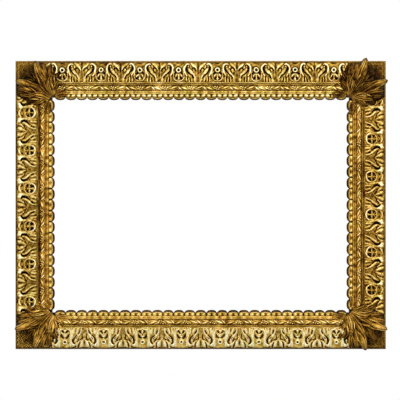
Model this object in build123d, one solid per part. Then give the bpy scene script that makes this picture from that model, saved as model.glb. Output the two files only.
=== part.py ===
from build123d import *
import math
import os

# Carved and gilded picture frame, in millimetres.
# +X points to the viewer's right and +Z up; the front faces -Y and the back lies on y = 0.
# The origin is the middle of the back plane.

# Picture and rebate
picture_width = 760.0
picture_height = 550.0
picture_play = 1.5  # free space round the picture, on each side
sight_lip = 6.5  # how far the sight edge laps over the picture

# Widths across the moulding, from the outer edge to the sight edge
edge_list_width = 4.5
frieze_width = 50.5
frieze_list_width = 3.5
groove_width = 4.0
torus_width = 14.0
inner_list_width = 8.5
scallop_length = 15.0

# Back frame
board_thickness = 22.0
board_setback = 6.0  # the boards stop short of the moulding's outer edge
peg_width = 9.0  # the pegs are square
peg_inset = 22.0  # from the edges of a lap to a peg's middle

# Heights of the moulding's surface above the back frame
edge_list_height = 11.0
frieze_outer_height = 12.0
frieze_inner_height = 20.5
frieze_list_height = 24.5
groove_height = 18.0
inner_list_height = 20.0
inner_list_step = 1.5  # the half of the list next to the scallops lies lower
rebate_step = 3.0  # the lip's back lies this far in front of the boards
scallop_ledge_height = 7.0
scallop_side_height = 10.5
scallop_root_height = 17.0
scallop_tip_height = 8.5

# Scallops
long_scallop_count = 27
short_scallop_count = 19
scallop_gap = 3.0  # open space between two tongues
scallop_round = 7.0  # length of a tongue's round end, which falls to the tip
# half of a round end, in shares of half the tongue's width and of the end's length
scallop_end_share = [(1.0, 0.0), (0.76, 0.66), (0.28, 1.0)]

# Carved run of the frieze
long_run_pitch = 99.0
short_run_pitch = 96.5
relief_height = 6.0
run_margin = 104.0  # from the outer corner to the first carving, at the outer side
run_slant_share = 0.5  # how far the run's ends slant, in shares of the frieze's width
run_offset_share = {"top": 0.067, "bottom": 0.0, "left": 0.06, "right": 0.25}

# Half a palmette and one of its scrolls: along the run in shares of half a pitch from the
# palmette's middle, across it in shares of the frieze's width from the inner side
palmette_share = [
    (0.1, 0.02),
    (0.13, 0.3),
    (0.46, 0.62),
    (0.25, 0.64),
    (0.3, 0.92),
    (0.0, 0.97),
]
scroll_share = [
    (0.67, 0.05),
    (0.8, 0.66),
    (0.73, 0.94),
    (0.5, 0.9),
    (0.62, 0.82),
    (0.67, 0.66),
    (0.5, 0.34),
    (0.38, 0.05),
]

# Ring, trefoil and horseshoe: the same shares, from the ring's middle
ring_place_share = 0.68
ring_outer_share = 0.15
ring_hole_share = 0.055
ring_sides = 8
ring_hole_sides = 4
trefoil_share = [(0.0, 0.46), (0.17, 0.27), (0.0, 0.14)]
horseshoe_share = [
    (0.3, 0.5),
    (0.28, 0.14),
    (0.0, 0.02),
    (0.0, 0.09),
    (0.21, 0.2),
    (0.21, 0.5),
]

# Corner leaf: every lobe starts at the root, on the mitre
leaf_reach = 118.0  # from the sight corner to the tip of the longest lobe
leaf_root = 10.0  # from the sight corner to the root
leaf_crest_height = 38.0
leaf_root_height = 23.0
leaf_tip_drop = 9.0  # a tip lies this far below its lobe's ridge
leaf_tip_thickness = 7.0
leaf_seat_gap = 0.3  # left between a leaf and the tongues under it
# tip of each lobe: angle from the mitre in degrees at the sight corner, then distance, width
# and ridge height in shares of the reach and of the crest height
leaf_lobe_share = [
    (0, 0.9, 0.26, 0.9),
    (20, 1.0, 0.21, 1.0),
    (37, 0.78, 0.2, 0.9),
    (58, 0.54, 0.18, 0.82),
    (88, 0.36, 0.15, 0.78),
    (125, 0.38, 0.11, 0.7),
]
# half the outline of a lobe, in shares of its length and of its width
lobe_outline_share = [(0.0, 0.14), (0.4, 0.44), (0.7, 0.48), (1.0, 0.0)]
lobe_slope_share = 0.45  # fall of a lobe's flanks, in shares of its width
lobe_crest_share = 0.8  # of a lobe's length, where its ridge is highest
lobe_undercut_share = 0.6  # of a lobe's length, where it leaves the moulding

# Strap hangers
hanger_rise_share = 0.12  # of the frame's height, above its middle
strap_width = 16.0
strap_length = 44.0
strap_thickness = 1.2
ring_wire_radius = 1.6
ring_play = 0.3
ring_bar_length = 32.0
ring_foot_length = 22.0
ring_drop = 24.0  # from the bar to the ring's lower side
strap_screw_places = [11.0, 35.0]  # below the ring's bar

# Turn buttons
button_length = 44.0
button_width = 14.0
button_thickness = 1.5
button_corner = 4.0  # clipped off each corner
button_rise = 2.0
button_bend_start_share = 0.4
button_bend_end_share = 0.55
button_gap = 0.3  # above the board and below the screw's head
button_hole_play = 0.1
button_inset = 14.0  # from the rebate to the pivot
rail_button_share = [-0.28, 0.28]  # along the sight width
stile_button_share = [0.0]  # along the sight height

# Screws
screw_shank_radius = 2.0
screw_head_radius = 3.8
screw_head_height = 2.2
screw_depth = 16.0
screw_sides = 8
screw_head_sides = 12

overrun = 5.0  # cutting solids reach this far past what they cut

# Places worked out from the sizes above, u from the outer edge inwards
frieze_start = edge_list_width
frieze_end = frieze_start + frieze_width
torus_start = frieze_end + frieze_list_width
torus_end = torus_start + groove_width + torus_width
sight_start = torus_end + inner_list_width
moulding_width = sight_start + scallop_length
sight_width = picture_width - 2 * sight_lip
sight_height = picture_height - 2 * sight_lip
outer_width = sight_width + 2 * moulding_width
outer_height = sight_height + 2 * moulding_width
rebate_start = moulding_width - sight_lip - picture_play
board_width = rebate_start - board_setback
board_top = board_thickness
crest = board_top + leaf_crest_height

# Each side is modelled along its own X, with u along Y and height above the back along Z
sides = {
    "top": (outer_width, (0, 0, outer_height / 2), (-1, 0, 0)),
    "bottom": (outer_width, (0, 0, -outer_height / 2), (1, 0, 0)),
    "left": (outer_height, (-outer_width / 2, 0, 0), (0, 0, -1)),
    "right": (outer_height, (outer_width / 2, 0, 0), (0, 0, 1)),
}
toward_viewer = (0, -1, 0)


def place_on_side(side, solid):
    """Move a solid from a side's own axes to its place in the frame."""
    length, middle, along = sides[side]
    return Plane(middle, x_dir=along, z_dir=toward_viewer).location * solid


def is_long(side):
    """Top and bottom are the long sides."""
    return side in ("top", "bottom")


def prism_along(points_or_edges, length):
    """Run a section in (u, height) along a side."""
    section = Plane.YZ * make_face(points_or_edges)
    return extrude(section, amount=length / 2, both=True)


def prism_up(plan, low, high):
    """Raise a plan in (along, u) from one height to another."""
    return Pos(0, 0, low) * extrude(plan, amount=high - low)


def mitre_block(length, start, end, low, high):
    """The space between two mitres, from u = start to u = end."""
    plan = make_face(
        Polyline(
            (-length / 2 + start, start),
            (length / 2 - start, start),
            (length / 2 - end, end),
            (-length / 2 + end, end),
            close=True,
        )
    )
    return prism_up(plan, low, high)


def mirrored_outline(half):
    """A closed outline from one half of it, mirrored about its middle line."""
    other_half = [(-place, level) for place, level in reversed(half)]
    points = half + [point for point in other_half if point not in half]
    return make_face(Polyline(*points, close=True))


# Frieze moulding


def frieze_ground(lift):
    """The ground of the frieze, lifted by the relief where that is wanted."""
    outer = board_top + frieze_outer_height + lift
    inner = board_top + frieze_inner_height + lift
    return [(frieze_start, outer), (frieze_end, inner)]


def frieze_surface():
    """Edge list, ground and inner list, from the outer edge inwards."""
    return [
        (0, board_top + edge_list_height),
        (frieze_start, board_top + edge_list_height),
        *frieze_ground(0),
        (frieze_end, board_top + frieze_list_height),
        (torus_start, board_top + frieze_list_height),
    ]


def frieze_section():
    """Section through the frieze moulding."""
    return Polyline((0, board_top), *frieze_surface(), (torus_start, board_top), close=True)


def relief_section():
    """Space that the carving fills over the ground."""
    below = [(frieze_end, board_top), (frieze_start, board_top)]
    return Polyline(*frieze_ground(relief_height), *below, close=True)


def on_run(shares, half_pitch):
    """Turn shares of half a pitch and of the frieze's width into places round a middle."""
    return [
        (along * half_pitch, frieze_end - across * frieze_width) for along, across in shares
    ]


def palmette(half_pitch):
    """A palmette between its two scrolls, in plan."""
    scroll = on_run(scroll_share, half_pitch)
    shapes = [mirrored_outline(on_run(palmette_share, half_pitch))]
    for hand in (1, -1):
        outline = [(hand * along, across) for along, across in scroll]
        shapes.append(make_face(Polyline(*outline, close=True)))
    return shapes


def ring_and_trefoil(half_pitch):
    """Pierced ring over a trefoil inside a horseshoe, in plan."""
    ring = RegularPolygon(ring_outer_share * frieze_width, ring_sides)
    ring = ring - RegularPolygon(ring_hole_share * frieze_width, ring_hole_sides)
    widths = [(along * frieze_width / half_pitch, across) for along, across in horseshoe_share]
    arm = make_face(Polyline(*on_run(widths, half_pitch), close=True))
    return [
        Pos(0, frieze_end - ring_place_share * frieze_width) * ring,
        mirrored_outline(on_run(trefoil_share, half_pitch)),
        arm + mirror(arm, about=Plane.YZ),
    ]


def run_places(limit, pitch, offset):
    """Middles of what repeats along a run, within the limit on each side."""
    first = -int((limit + offset) // pitch)
    last = int((limit - offset) // pitch)
    return [offset + step * pitch for step in range(first, last + 1)]


def carving_plan(side):
    """Every carved shape of one side, in plan."""
    length = sides[side][0]
    pitch = long_run_pitch if is_long(side) else short_run_pitch
    offset = run_offset_share[side] * pitch
    limit = length / 2 - run_margin
    shapes = []
    for middle in run_places(limit + pitch / 2, pitch, offset):
        shapes += [Pos(middle, 0) * shape for shape in palmette(pitch / 2)]
    for middle in run_places(limit, pitch, offset + pitch / 2):
        shapes += [Pos(middle, 0) * shape for shape in ring_and_trefoil(pitch / 2)]
    outer_end = (limit, frieze_start)
    inner_end = (limit - run_slant_share * frieze_width, frieze_end)
    return (Sketch() + shapes) & mirrored_outline([outer_end, inner_end])


def frieze(side):
    """One mitred length of the frieze moulding with its carving."""
    length = sides[side][0]
    block = mitre_block(length, 0, torus_start, board_top, crest)
    moulding = prism_along(frieze_section(), length) & block
    carving = prism_up(carving_plan(side), board_top, crest)
    carving = carving & prism_along(relief_section(), length)
    return moulding + carving


# Torus moulding


def torus(side):
    """Groove, torus and the stepped inner list, in one mitred length."""
    length = sides[side][0]
    middle = torus_start + groove_width + torus_width / 2
    low = board_top + groove_height
    bead = ThreePointArc(
        (middle - torus_width / 2, low),
        (middle, low + torus_width / 2),
        (middle + torus_width / 2, low),
    )
    step = torus_end + inner_list_width / 2
    high = board_top + inner_list_height
    rest = Polyline(
        bead @ 1,
        (torus_end, high),
        (step, high),
        (step, high - inner_list_step),
        (sight_start, high - inner_list_step),
        (sight_start, board_top),
        (torus_start, board_top),
        (torus_start, low),
        bead @ 0,
    )
    block = mitre_block(length, torus_start, sight_start, board_top, crest)
    return prism_along([bead, rest], length) & block


# Sight moulding


def sight_section():
    """Section through a tongue: down from its root to its tip, with the rebate behind."""
    return Polyline(
        (sight_start, board_top + scallop_root_height),
        (moulding_width - scallop_round, board_top + scallop_root_height),
        (moulding_width, board_top + scallop_tip_height),
        (moulding_width, board_top + rebate_step),
        (rebate_start, board_top + rebate_step),
        (rebate_start, board_top),
        (sight_start, board_top),
        close=True,
    )


def ledge_section():
    """Section through the unbroken wood behind the tongues."""
    return Polyline(
        (sight_start, board_top),
        (rebate_start, board_top),
        (rebate_start, board_top + rebate_step),
        (moulding_width - scallop_round, board_top + rebate_step),
        (moulding_width - scallop_round, board_top + scallop_ledge_height),
        (sight_start, board_top + scallop_side_height),
        close=True,
    )


def scallop_middles(count, pitch):
    """Middles of the tongues along a sight edge."""
    return [(2 * place + 1 - count) * pitch / 2 for place in range(count)]


def tongue_plan(pitch):
    """A tongue with a round end, from the list to the sight edge."""
    half = (pitch - scallop_gap) / 2
    straight = moulding_width - scallop_round
    end = [(along * half, straight + out * scallop_round) for along, out in scallop_end_share]
    return mirrored_outline([(half, sight_start), *end])


def sight(side):
    """The scalloped sight moulding, whose back is the ledge of the rebate."""
    length = sides[side][0]
    opening = sight_width if is_long(side) else sight_height
    count = long_scallop_count if is_long(side) else short_scallop_count
    pitch = opening / count
    block = mitre_block(length, sight_start, moulding_width, board_top, crest)
    tongue = prism_up(tongue_plan(pitch), board_top, crest)
    tongues = Part() + [Pos(place, 0, 0) * tongue for place in scallop_middles(count, pitch)]
    tongues = tongues & prism_along(sight_section(), length) & block
    return tongues + (prism_along(ledge_section(), length) & block)


# Corner leaves


def lobe(angle, reach_share, width_share, height_share):
    """One ridged lobe of a corner leaf, from the root to its tip."""
    tip_along = leaf_reach * reach_share * math.cos(math.radians(angle)) - leaf_root
    tip_across = leaf_reach * reach_share * math.sin(math.radians(angle))
    length = math.hypot(tip_along, tip_across)
    width = leaf_reach * width_share
    side = [(along * length, across * width) for along, across in lobe_outline_share]
    other_side = [(along, -across) for along, across in reversed(side[:-1])]
    outline = make_face(Polyline(*side, *other_side, close=True))
    profile = lobe_profile(length, board_top + leaf_crest_height * height_share)
    ridged = prism_up(outline, board_top, crest) & profile & lobe_roof(length, width, height_share)
    turn = math.degrees(math.atan2(tip_across, tip_along))
    return Pos(leaf_root, 0, 0) * Rot(0, 0, turn) * ridged


def lobe_profile(length, ridge):
    """Side view of a lobe, with its falling tip and undercut."""
    tip = ridge - leaf_tip_drop
    side_view = Polyline(
        (0, board_top),
        (0, crest),
        (length * lobe_crest_share, ridge),
        (length, tip),
        (length, tip - leaf_tip_thickness),
        (length * lobe_undercut_share, board_top),
        close=True,
    )
    return extrude(Plane.XZ * make_face(side_view), amount=leaf_reach, both=True)


def lobe_roof(length, width, height_share):
    """The two flanks of a lobe, rising from the root to its crest."""
    root = board_top + leaf_root_height
    rise = board_top + leaf_crest_height * height_share - root
    eave = -lobe_slope_share * width
    section = mirrored_outline([(width / 2, -root), (width / 2, eave), (0, 0)])
    roof = extrude(Plane.YZ.offset(-overrun) * section, amount=leaf_reach + overrun)
    tilt = math.degrees(math.atan2(rise, length * lobe_crest_share))
    return Pos(0, 0, root) * Rot(0, -tilt, 0) * roof


def leaf_seat(side):
    """What a leaf is hollowed for: the ground, the lists and a clear space over the rest."""
    length = sides[side][0]
    over_bead = board_top + groove_height + torus_width / 2 + leaf_seat_gap
    over_list = board_top + inner_list_height
    over_tongues = board_top + scallop_root_height + leaf_seat_gap
    section = Polyline(
        (0, 0),
        *frieze_surface(),
        (torus_start, over_bead),
        (torus_end, over_bead),
        (torus_end, over_list),
        (sight_start, over_list),
        (sight_start, over_tongues),
        (moulding_width, over_tongues),
        (moulding_width, 0),
        close=True,
    )
    block = mitre_block(length, 0, moulding_width, 0, crest)
    return place_on_side(side, prism_along(section, length) & block)


def corner_leaf(across, up):
    """One carved leaf, cut to sit on the mouldings under it."""
    lobes = []
    for angle, reach_share, width_share, height_share in leaf_lobe_share:
        lobes.append(lobe(angle, reach_share, width_share, height_share))
        if angle:
            lobes.append(lobe(-angle, reach_share, width_share, height_share))
    leaf = Part() + lobes
    corner = Plane(
        (across * sight_width / 2, 0, up * sight_height / 2),
        x_dir=(across, 0, up),
        z_dir=toward_viewer,
    )
    hand = "right" if across > 0 else "left"
    level = "top" if up > 0 else "bottom"
    return corner.location * leaf - leaf_seat(hand) - leaf_seat(level)


# Back frame


def board(side):
    """One board of the back frame, before its laps and holes."""
    length = sides[side][0] - 2 * board_setback
    middle = board_setback + board_width / 2
    return Pos(0, middle, board_thickness / 2) * Box(length, board_width, board_thickness)


def lap(side, low):
    """The half of the thickness that is cut away at both ends of a board."""
    length = sides[side][0] - 2 * board_setback
    middle = board_setback + board_width / 2
    cut = Box(board_width, board_width + 2 * overrun, board_thickness / 2)
    cuts = []
    for end in (-1, 1):
        place = end * (length - board_width) / 2
        cuts.append(Pos(place, middle, low + board_thickness / 4) * cut)
    return cuts


def corner_pegs():
    """Two square wooden pegs through each half-lap."""
    align = (Align.CENTER, Align.MAX, Align.CENTER)
    peg = Box(peg_width, board_thickness, peg_width, align=align)
    near = outer_width / 2 - board_setback
    high = outer_height / 2 - board_setback
    pegs = []
    for across in (-1, 1):
        for up in (-1, 1):
            pegs.append(Pos(across * (near - peg_inset), 0, up * (high - peg_inset)) * peg)
            inner = board_width - peg_inset
            pegs.append(Pos(across * (near - inner), 0, up * (high - inner)) * peg)
    return pegs


# Screws, hangers and turn buttons


def screw(standing):
    """A screw that enters the boards at y = 0, with its head standing off them."""
    shank = extrude(RegularPolygon(screw_shank_radius, screw_sides), amount=screw_depth + standing)
    head = extrude(RegularPolygon(screw_head_radius, screw_head_sides), amount=screw_head_height)
    whole = Pos(0, 0, -screw_depth) * shank + Pos(0, 0, standing) * head
    return Rot(-90, 0, 0) * whole


def hanger_places():
    """The middle of each ring's bar: on a stile, off its back face."""
    off = ring_wire_radius + ring_play + strap_thickness
    across = outer_width / 2 - board_setback - board_width / 2
    height = hanger_rise_share * outer_height
    return {"left": (-across, off, height), "right": (across, off, height)}


def hanger_strap():
    """A steel strap folded round the ring's bar, the bar's middle at the origin."""
    inner = ring_wire_radius + ring_play
    outer = inner + strap_thickness
    plate = Pos(strap_thickness / 2 - outer, -strap_length / 2)
    plate = plate * Rectangle(strap_thickness, strap_length)
    profile = (Circle(outer) + plate) - Circle(inner)
    return extrude(Plane.YZ * profile, amount=strap_width / 2, both=True)


def hanger_ring():
    """A wire ring that hangs from its upper bar, the bar's middle at the origin."""
    corners = Polyline(
        (-ring_bar_length / 2, 0, 0),
        (ring_bar_length / 2, 0, 0),
        (ring_foot_length / 2, 0, -ring_drop),
        (-ring_foot_length / 2, 0, -ring_drop),
        close=True,
    )
    wire = Plane.YZ.offset(-ring_bar_length / 2) * Circle(ring_wire_radius)
    return sweep(wire, path=corners, transition=Transition.RIGHT)


def turn_button():
    """A brass strip with a raised end, turning on a screw at the origin along X."""
    far = button_length - button_width / 2
    near = -button_width / 2
    bend_start = near + button_bend_start_share * button_length
    bend_end = near + button_bend_end_share * button_length
    low = button_gap
    side_view = make_face(
        Polyline(
            (near, low),
            (bend_start, low),
            (bend_end, low + button_rise),
            (far, low + button_rise),
            (far, low + button_rise + button_thickness),
            (bend_end, low + button_rise + button_thickness),
            (bend_start, low + button_thickness),
            (near, low + button_thickness),
            close=True,
        )
    )
    strip = extrude(side_view, amount=button_width / 2, both=True)
    outline = Rectangle(button_length, button_width)
    outline = Pos((far + near) / 2, 0) * chamfer(outline.vertices(), length=button_corner)
    hole_radius = screw_shank_radius + button_hole_play
    outline = outline - RegularPolygon(hole_radius, screw_sides, major_radius=False)
    return strip & extrude(Plane.XZ * outline, amount=button_length, both=True)


def button_places():
    """Pivot of each turn button and the turn that lays it along its board."""
    high = outer_height / 2 - rebate_start + button_inset
    wide = outer_width / 2 - rebate_start + button_inset
    places = []
    for share in rail_button_share:
        places.append(((share * sight_width, 0, high), 0))
    for share in reversed(stile_button_share):
        places.append(((wide, 0, share * sight_height), 90))
    for share in reversed(rail_button_share):
        places.append(((share * sight_width, 0, -high), 180))
    for share in stile_button_share:
        places.append(((-wide, 0, share * sight_height), 270))
    return places


def build_frame():
    """Every node of the frame, by name."""
    nodes = {}
    for side in sides:
        nodes[f"frieze_{side}"] = place_on_side(side, frieze(side))
        nodes[f"torus_{side}"] = place_on_side(side, torus(side))
        nodes[f"sight_{side}"] = place_on_side(side, sight(side))
    for up, level in ((1, "top"), (-1, "bottom")):
        for across, hand in ((-1, "left"), (1, "right")):
            nodes[f"leaf_{level}_{hand}"] = corner_leaf(across, up)

    pegs = corner_pegs()
    nodes["corner_pegs"] = Compound(children=pegs)

    straps = []
    hanger_screws = []
    for hand, place in hanger_places().items():
        nodes[f"hanger_ring_{hand}"] = Pos(*place) * hanger_ring()
        strap = Pos(*place) * hanger_strap()
        for below in strap_screw_places:
            on_board = Pos(place[0], 0, place[2] - below)
            hanger_screws.append(on_board * screw(strap_thickness))
        straps.append(strap - hanger_screws)
    nodes["hanger_straps"] = Compound(children=straps)
    nodes["hanger_screws"] = Compound(children=hanger_screws)

    button_screws = []
    for number, (place, turn) in enumerate(button_places(), start=1):
        nodes[f"turn_button_{number}"] = Pos(*place) * Rot(0, turn, 0) * turn_button()
        standing = 2 * button_gap + button_thickness
        button_screws.append(Pos(*place) * screw(standing))
    nodes["button_screws"] = Compound(children=button_screws)

    for side in sides:
        low = board_thickness / 2 if is_long(side) else 0
        cut_board = board(side)
        for cut in lap(side, low):
            cut_board = cut_board - cut
        cut_board = place_on_side(side, cut_board)
        kind = "rail" if is_long(side) else "stile"
        nodes[f"back_{kind}_{side}"] = cut_board - pegs - hanger_screws - button_screws
    return nodes


os.makedirs("parts", exist_ok=True)
for name, shape in build_frame().items():
    export_step(shape, f"parts/{name}.step")
    print(name, round(shape.volume))
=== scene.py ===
import math

import bpy
import numpy as np
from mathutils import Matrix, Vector


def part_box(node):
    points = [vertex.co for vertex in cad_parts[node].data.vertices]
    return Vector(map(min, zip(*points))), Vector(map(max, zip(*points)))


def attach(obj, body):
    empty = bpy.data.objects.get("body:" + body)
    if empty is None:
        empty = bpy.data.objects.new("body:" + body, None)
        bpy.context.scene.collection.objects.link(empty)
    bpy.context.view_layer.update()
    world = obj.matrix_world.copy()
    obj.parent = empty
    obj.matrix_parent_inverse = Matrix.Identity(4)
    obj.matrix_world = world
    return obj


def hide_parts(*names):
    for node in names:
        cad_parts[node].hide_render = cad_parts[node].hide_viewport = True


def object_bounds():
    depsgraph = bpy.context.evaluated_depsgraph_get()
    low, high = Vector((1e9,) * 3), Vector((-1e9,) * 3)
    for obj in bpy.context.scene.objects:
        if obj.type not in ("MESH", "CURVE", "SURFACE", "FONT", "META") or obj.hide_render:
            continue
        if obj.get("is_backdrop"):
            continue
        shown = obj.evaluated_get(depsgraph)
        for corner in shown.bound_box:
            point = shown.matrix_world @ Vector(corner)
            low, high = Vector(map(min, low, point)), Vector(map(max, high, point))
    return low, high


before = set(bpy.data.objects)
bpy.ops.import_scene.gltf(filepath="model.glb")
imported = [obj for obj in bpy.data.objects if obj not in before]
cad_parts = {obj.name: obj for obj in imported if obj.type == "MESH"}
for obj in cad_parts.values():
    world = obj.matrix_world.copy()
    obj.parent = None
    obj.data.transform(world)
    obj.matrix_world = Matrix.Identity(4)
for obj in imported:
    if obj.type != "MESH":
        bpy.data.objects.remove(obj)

cad_low, cad_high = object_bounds()

# The back frame: four pine boards, sawn and left bare, darkened by age and handling.
# They are half-lapped at the corners and carry everything else.


def add_node(tree, kind, inputs=None, **settings):
    """A node in a tree, with its settings and the values of its sockets."""
    node = tree.nodes.new(kind)
    for name, value in settings.items():
        setattr(node, name, value)
    for name, value in (inputs or {}).items():
        if isinstance(value, bpy.types.NodeSocket):
            tree.links.new(value, node.inputs[name])
        else:
            node.inputs[name].default_value = value
    return node


def ramp_of(tree, factor, stops):
    """A colour ramp through (place, colour) stops."""
    ramp = add_node(tree, "ShaderNodeValToRGB", {"Fac": factor})
    marks = ramp.color_ramp.elements
    while len(marks) < len(stops):
        marks.new(0.5)
    for mark, (place, colour) in zip(marks, stops):
        mark.position = place
        mark.color = (*colour, 1)
    return ramp.outputs["Color"]


def sum_of(tree, operation, first, second, third=0.0):
    """One sum of two or three values or sockets."""
    return add_node(tree, "ShaderNodeMath", {0: first, 1: second, 2: third}, operation=operation).outputs[0]


def mix_of(tree, factor, first, second, blend_type="MIX"):
    """Two colours mixed by a factor."""
    first, second = (c if isinstance(c, bpy.types.NodeSocket) else (*c, 1) for c in (first, second))
    sockets = {0: factor, 6: first, 7: second}
    return add_node(tree, "ShaderNodeMix", sockets, data_type="RGBA", blend_type=blend_type).outputs[2]


def noise_of(tree, place, scale, detail=4.0):
    """Noise at a scale in periods per metre."""
    noise = add_node(tree, "ShaderNodeTexNoise", {"Vector": place, "Scale": scale, "Detail": detail})
    return noise.outputs["Fac"]


def new_group(name, **inputs):
    """A shader group that puts out a colour, a roughness and a height, and its inputs."""
    group = bpy.data.node_groups.new(name, "ShaderNodeTree")
    outputs = {"Color": "Color", "Roughness": "Float", "Height": "Float"}
    for way, sockets in (("INPUT", inputs), ("OUTPUT", outputs)):
        for socket, kind in sockets.items():
            group.interface.new_socket(socket, in_out=way, socket_type=f"NodeSocket{kind}")
    return group, group.nodes.new("NodeGroupInput").outputs


def put_out(group, colour, roughness, height):
    """The group with its three results put out."""
    add_node(group, "NodeGroupOutput", {"Color": colour, "Roughness": roughness, "Height": height})
    return group


def new_material(name, group, inputs, bump, **shader_values):
    """A material whose colour, roughness and bump come from a group."""
    material = bpy.data.materials.new(name)
    material.use_nodes = True
    tree = material.node_tree
    shader = tree.nodes["Principled BSDF"]
    place = add_node(tree, "ShaderNodeTexCoord").outputs["Object"]
    surface = add_node(tree, "ShaderNodeGroup", inputs(tree, place), node_tree=group)
    relief = add_node(tree, "ShaderNodeBump", {"Height": surface.outputs["Height"], "Distance": bump})
    tree.links.new(surface.outputs["Color"], shader.inputs["Base Color"])
    tree.links.new(surface.outputs["Roughness"], shader.inputs["Roughness"])
    tree.links.new(relief.outputs["Normal"], shader.inputs["Normal"])
    for socket, value in shader_values.items():
        shader.inputs[socket.replace("_", " ")].default_value = value
    return material


def grain_group():
    """Sawn softwood: rings and pores along the grain, with stains and handling dirt."""
    group, given = new_group("sawn_grain", Along="Vector", Place="Vector")
    along = given["Along"]
    rings = add_node(group, "ShaderNodeTexWave", {
        "Vector": along, "Scale": 58.0, "Distortion": 11.0, "Detail": 3.0, "Detail Scale": 0.7,
    }, bands_direction="DIAGONAL")
    streaks = noise_of(group, along, 110.0, 3.0)
    pores = noise_of(group, along, 420.0, 6.0)
    stain = noise_of(group, given["Place"], 9.0)
    growth = sum_of(group, "MULTIPLY", streaks, 0.4)
    growth = sum_of(group, "MULTIPLY_ADD", rings.outputs["Fac"], 0.6, growth)
    wood = ramp_of(group, growth, [
        (0.0, (0.20, 0.105, 0.045)), (0.55, (0.33, 0.19, 0.085)), (1.0, (0.42, 0.26, 0.125)),
    ])
    wood = mix_of(group, sum_of(group, "MULTIPLY", pores, 0.55), wood, (0.12, 0.062, 0.028))
    dirt = ramp_of(group, stain, [(0.35, (0.45, 0.40, 0.36)), (0.65, (1.0, 1.0, 1.0))])
    colour = mix_of(group, 0.8, wood, dirt, "MULTIPLY")
    rough = sum_of(group, "MULTIPLY_ADD", pores, 0.3, 0.55)
    return put_out(group, colour, rough, sum_of(group, "ADD", pores, rings.outputs["Fac"]))


sawn_grain = grain_group()


def wood_material(name, stretch):
    """Wood with its grain along the axis that is stretched."""
    def inputs(tree, place):
        grain = add_node(tree, "ShaderNodeMapping", {"Vector": place, "Scale": stretch})
        return {"Along": grain.outputs["Vector"], "Place": place}
    return new_material(name, sawn_grain, inputs, 0.0005)


def finished(name, material, edge_name="", edge_width=0.0):
    """A piece in its material, with its sharp edges broken where a width is given."""
    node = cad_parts[name]
    node.data.materials.clear()
    node.data.materials.append(material)
    if edge_width:
        edge = node.modifiers.new(edge_name, "BEVEL")
        edge.width = edge_width
        edge.segments = 2
        edge.limit_method = "ANGLE"


grain_stretch = {"rail": (0.06, 1.0, 1.0), "stile": (1.0, 1.0, 0.06)}
board_kinds = {"top": "rail", "bottom": "rail", "left": "stile", "right": "stile"}
worn_arris = 0.0008
for side, kind in board_kinds.items():
    pine = wood_material(f"aged_pine_{side}", grain_stretch[kind])
    finished(f"back_{kind}_{side}", pine, "worn_arris", worn_arris)

# The corner pegs: four square pins of oak, split and left bare, driven through the half-laps from
# the back and trimmed flush, so that their dark end grain shows there.

finished("corner_pegs", wood_material("oak_end_grain", (1.0, 0.12, 1.0)))

# The frieze: four mitred lengths carved with palmettes, scrolls and pierced rings, then gessoed,
# laid with red bole and gold leaf, rubbed on the high points and toned brown in the hollows; painted
# highlights on the high points and painted shade in the hollows and slots lie over that.

mm = 0.001
frieze_low, frieze_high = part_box("frieze_top")
stile_low, stile_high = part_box("frieze_left")
outer_width = (frieze_high.x - frieze_low.x) / mm
outer_height = (stile_high.z - stile_low.z) / mm
board_top = -frieze_high.y / mm
edge_list_width = 4.5
frieze_width = 50.5
frieze_end = edge_list_width + frieze_width
frieze_strip = (frieze_high.z - frieze_low.z) / mm
moulding_width = 100.0
frieze_foot = board_top + 12.0
frieze_lift = 8.5
edge_list_top = board_top + 11.0
inner_list_top = board_top + 24.4
run_pitches = {"top": 99.0, "bottom": 99.0, "left": 96.5, "right": 96.5}
run_offsets = {"top": 6.63, "bottom": 0.0, "left": 5.79, "right": 24.12}
run_margins = {"top": (94, 64), "bottom": (70, 84), "left": (88, 84), "right": (86, 92)}
drawn_pitch = 49.5  # half a pitch of the drawings below
centre = drawn_pitch
drawn_step = 0.3
drawn_ground = 3.3
grid_step = 0.8

# Each side: its length, the middle of its outer edge, the way along it and the way inwards
sides = {
    "top": (outer_width, (0, 0, outer_height / 2), (-1, 0, 0), (0, 0, -1)),
    "bottom": (outer_width, (0, 0, -outer_height / 2), (1, 0, 0), (0, 0, 1)),
    "left": (outer_height, (-outer_width / 2, 0, 0), (0, 0, -1), (1, 0, 0)),
    "right": (outer_height, (outer_width / 2, 0, 0), (0, 0, 1), (-1, 0, 0)),
}


def smooth_step(low, high, value):
    """0 below low, 1 above high and a smooth rise between."""
    share = np.clip((value - low) / (high - low), 0, 1)
    return share * share * (3 - 2 * share)


def uneven(seed, places, period, count=5):
    """A smooth uneven line, mostly between -1 and 1, as a hand leaves it."""
    random = np.random.default_rng(seed)
    total = np.zeros(np.shape(places))
    for _ in range(count):
        wave = 2 * math.pi / (period * random.uniform(0.5, 2.0))
        total += np.sin(places * wave + random.uniform(0, 2 * math.pi))
    return total / count * 1.6


def blurred(field, reach):
    """A field averaged over a square window, twice."""
    for _ in range(2):
        for axis in (0, 1):
            widths = [(reach + 1, reach) if a == axis else (0, 0) for a in (0, 1)]
            total = np.cumsum(np.pad(field, widths, "edge"), axis)
            size = field.shape[axis]
            upper = np.take(total, range(2 * reach + 1, 2 * reach + 1 + size), axis)
            field = (upper - np.take(total, range(size), axis)) / (2 * reach + 1)
    return field


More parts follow.
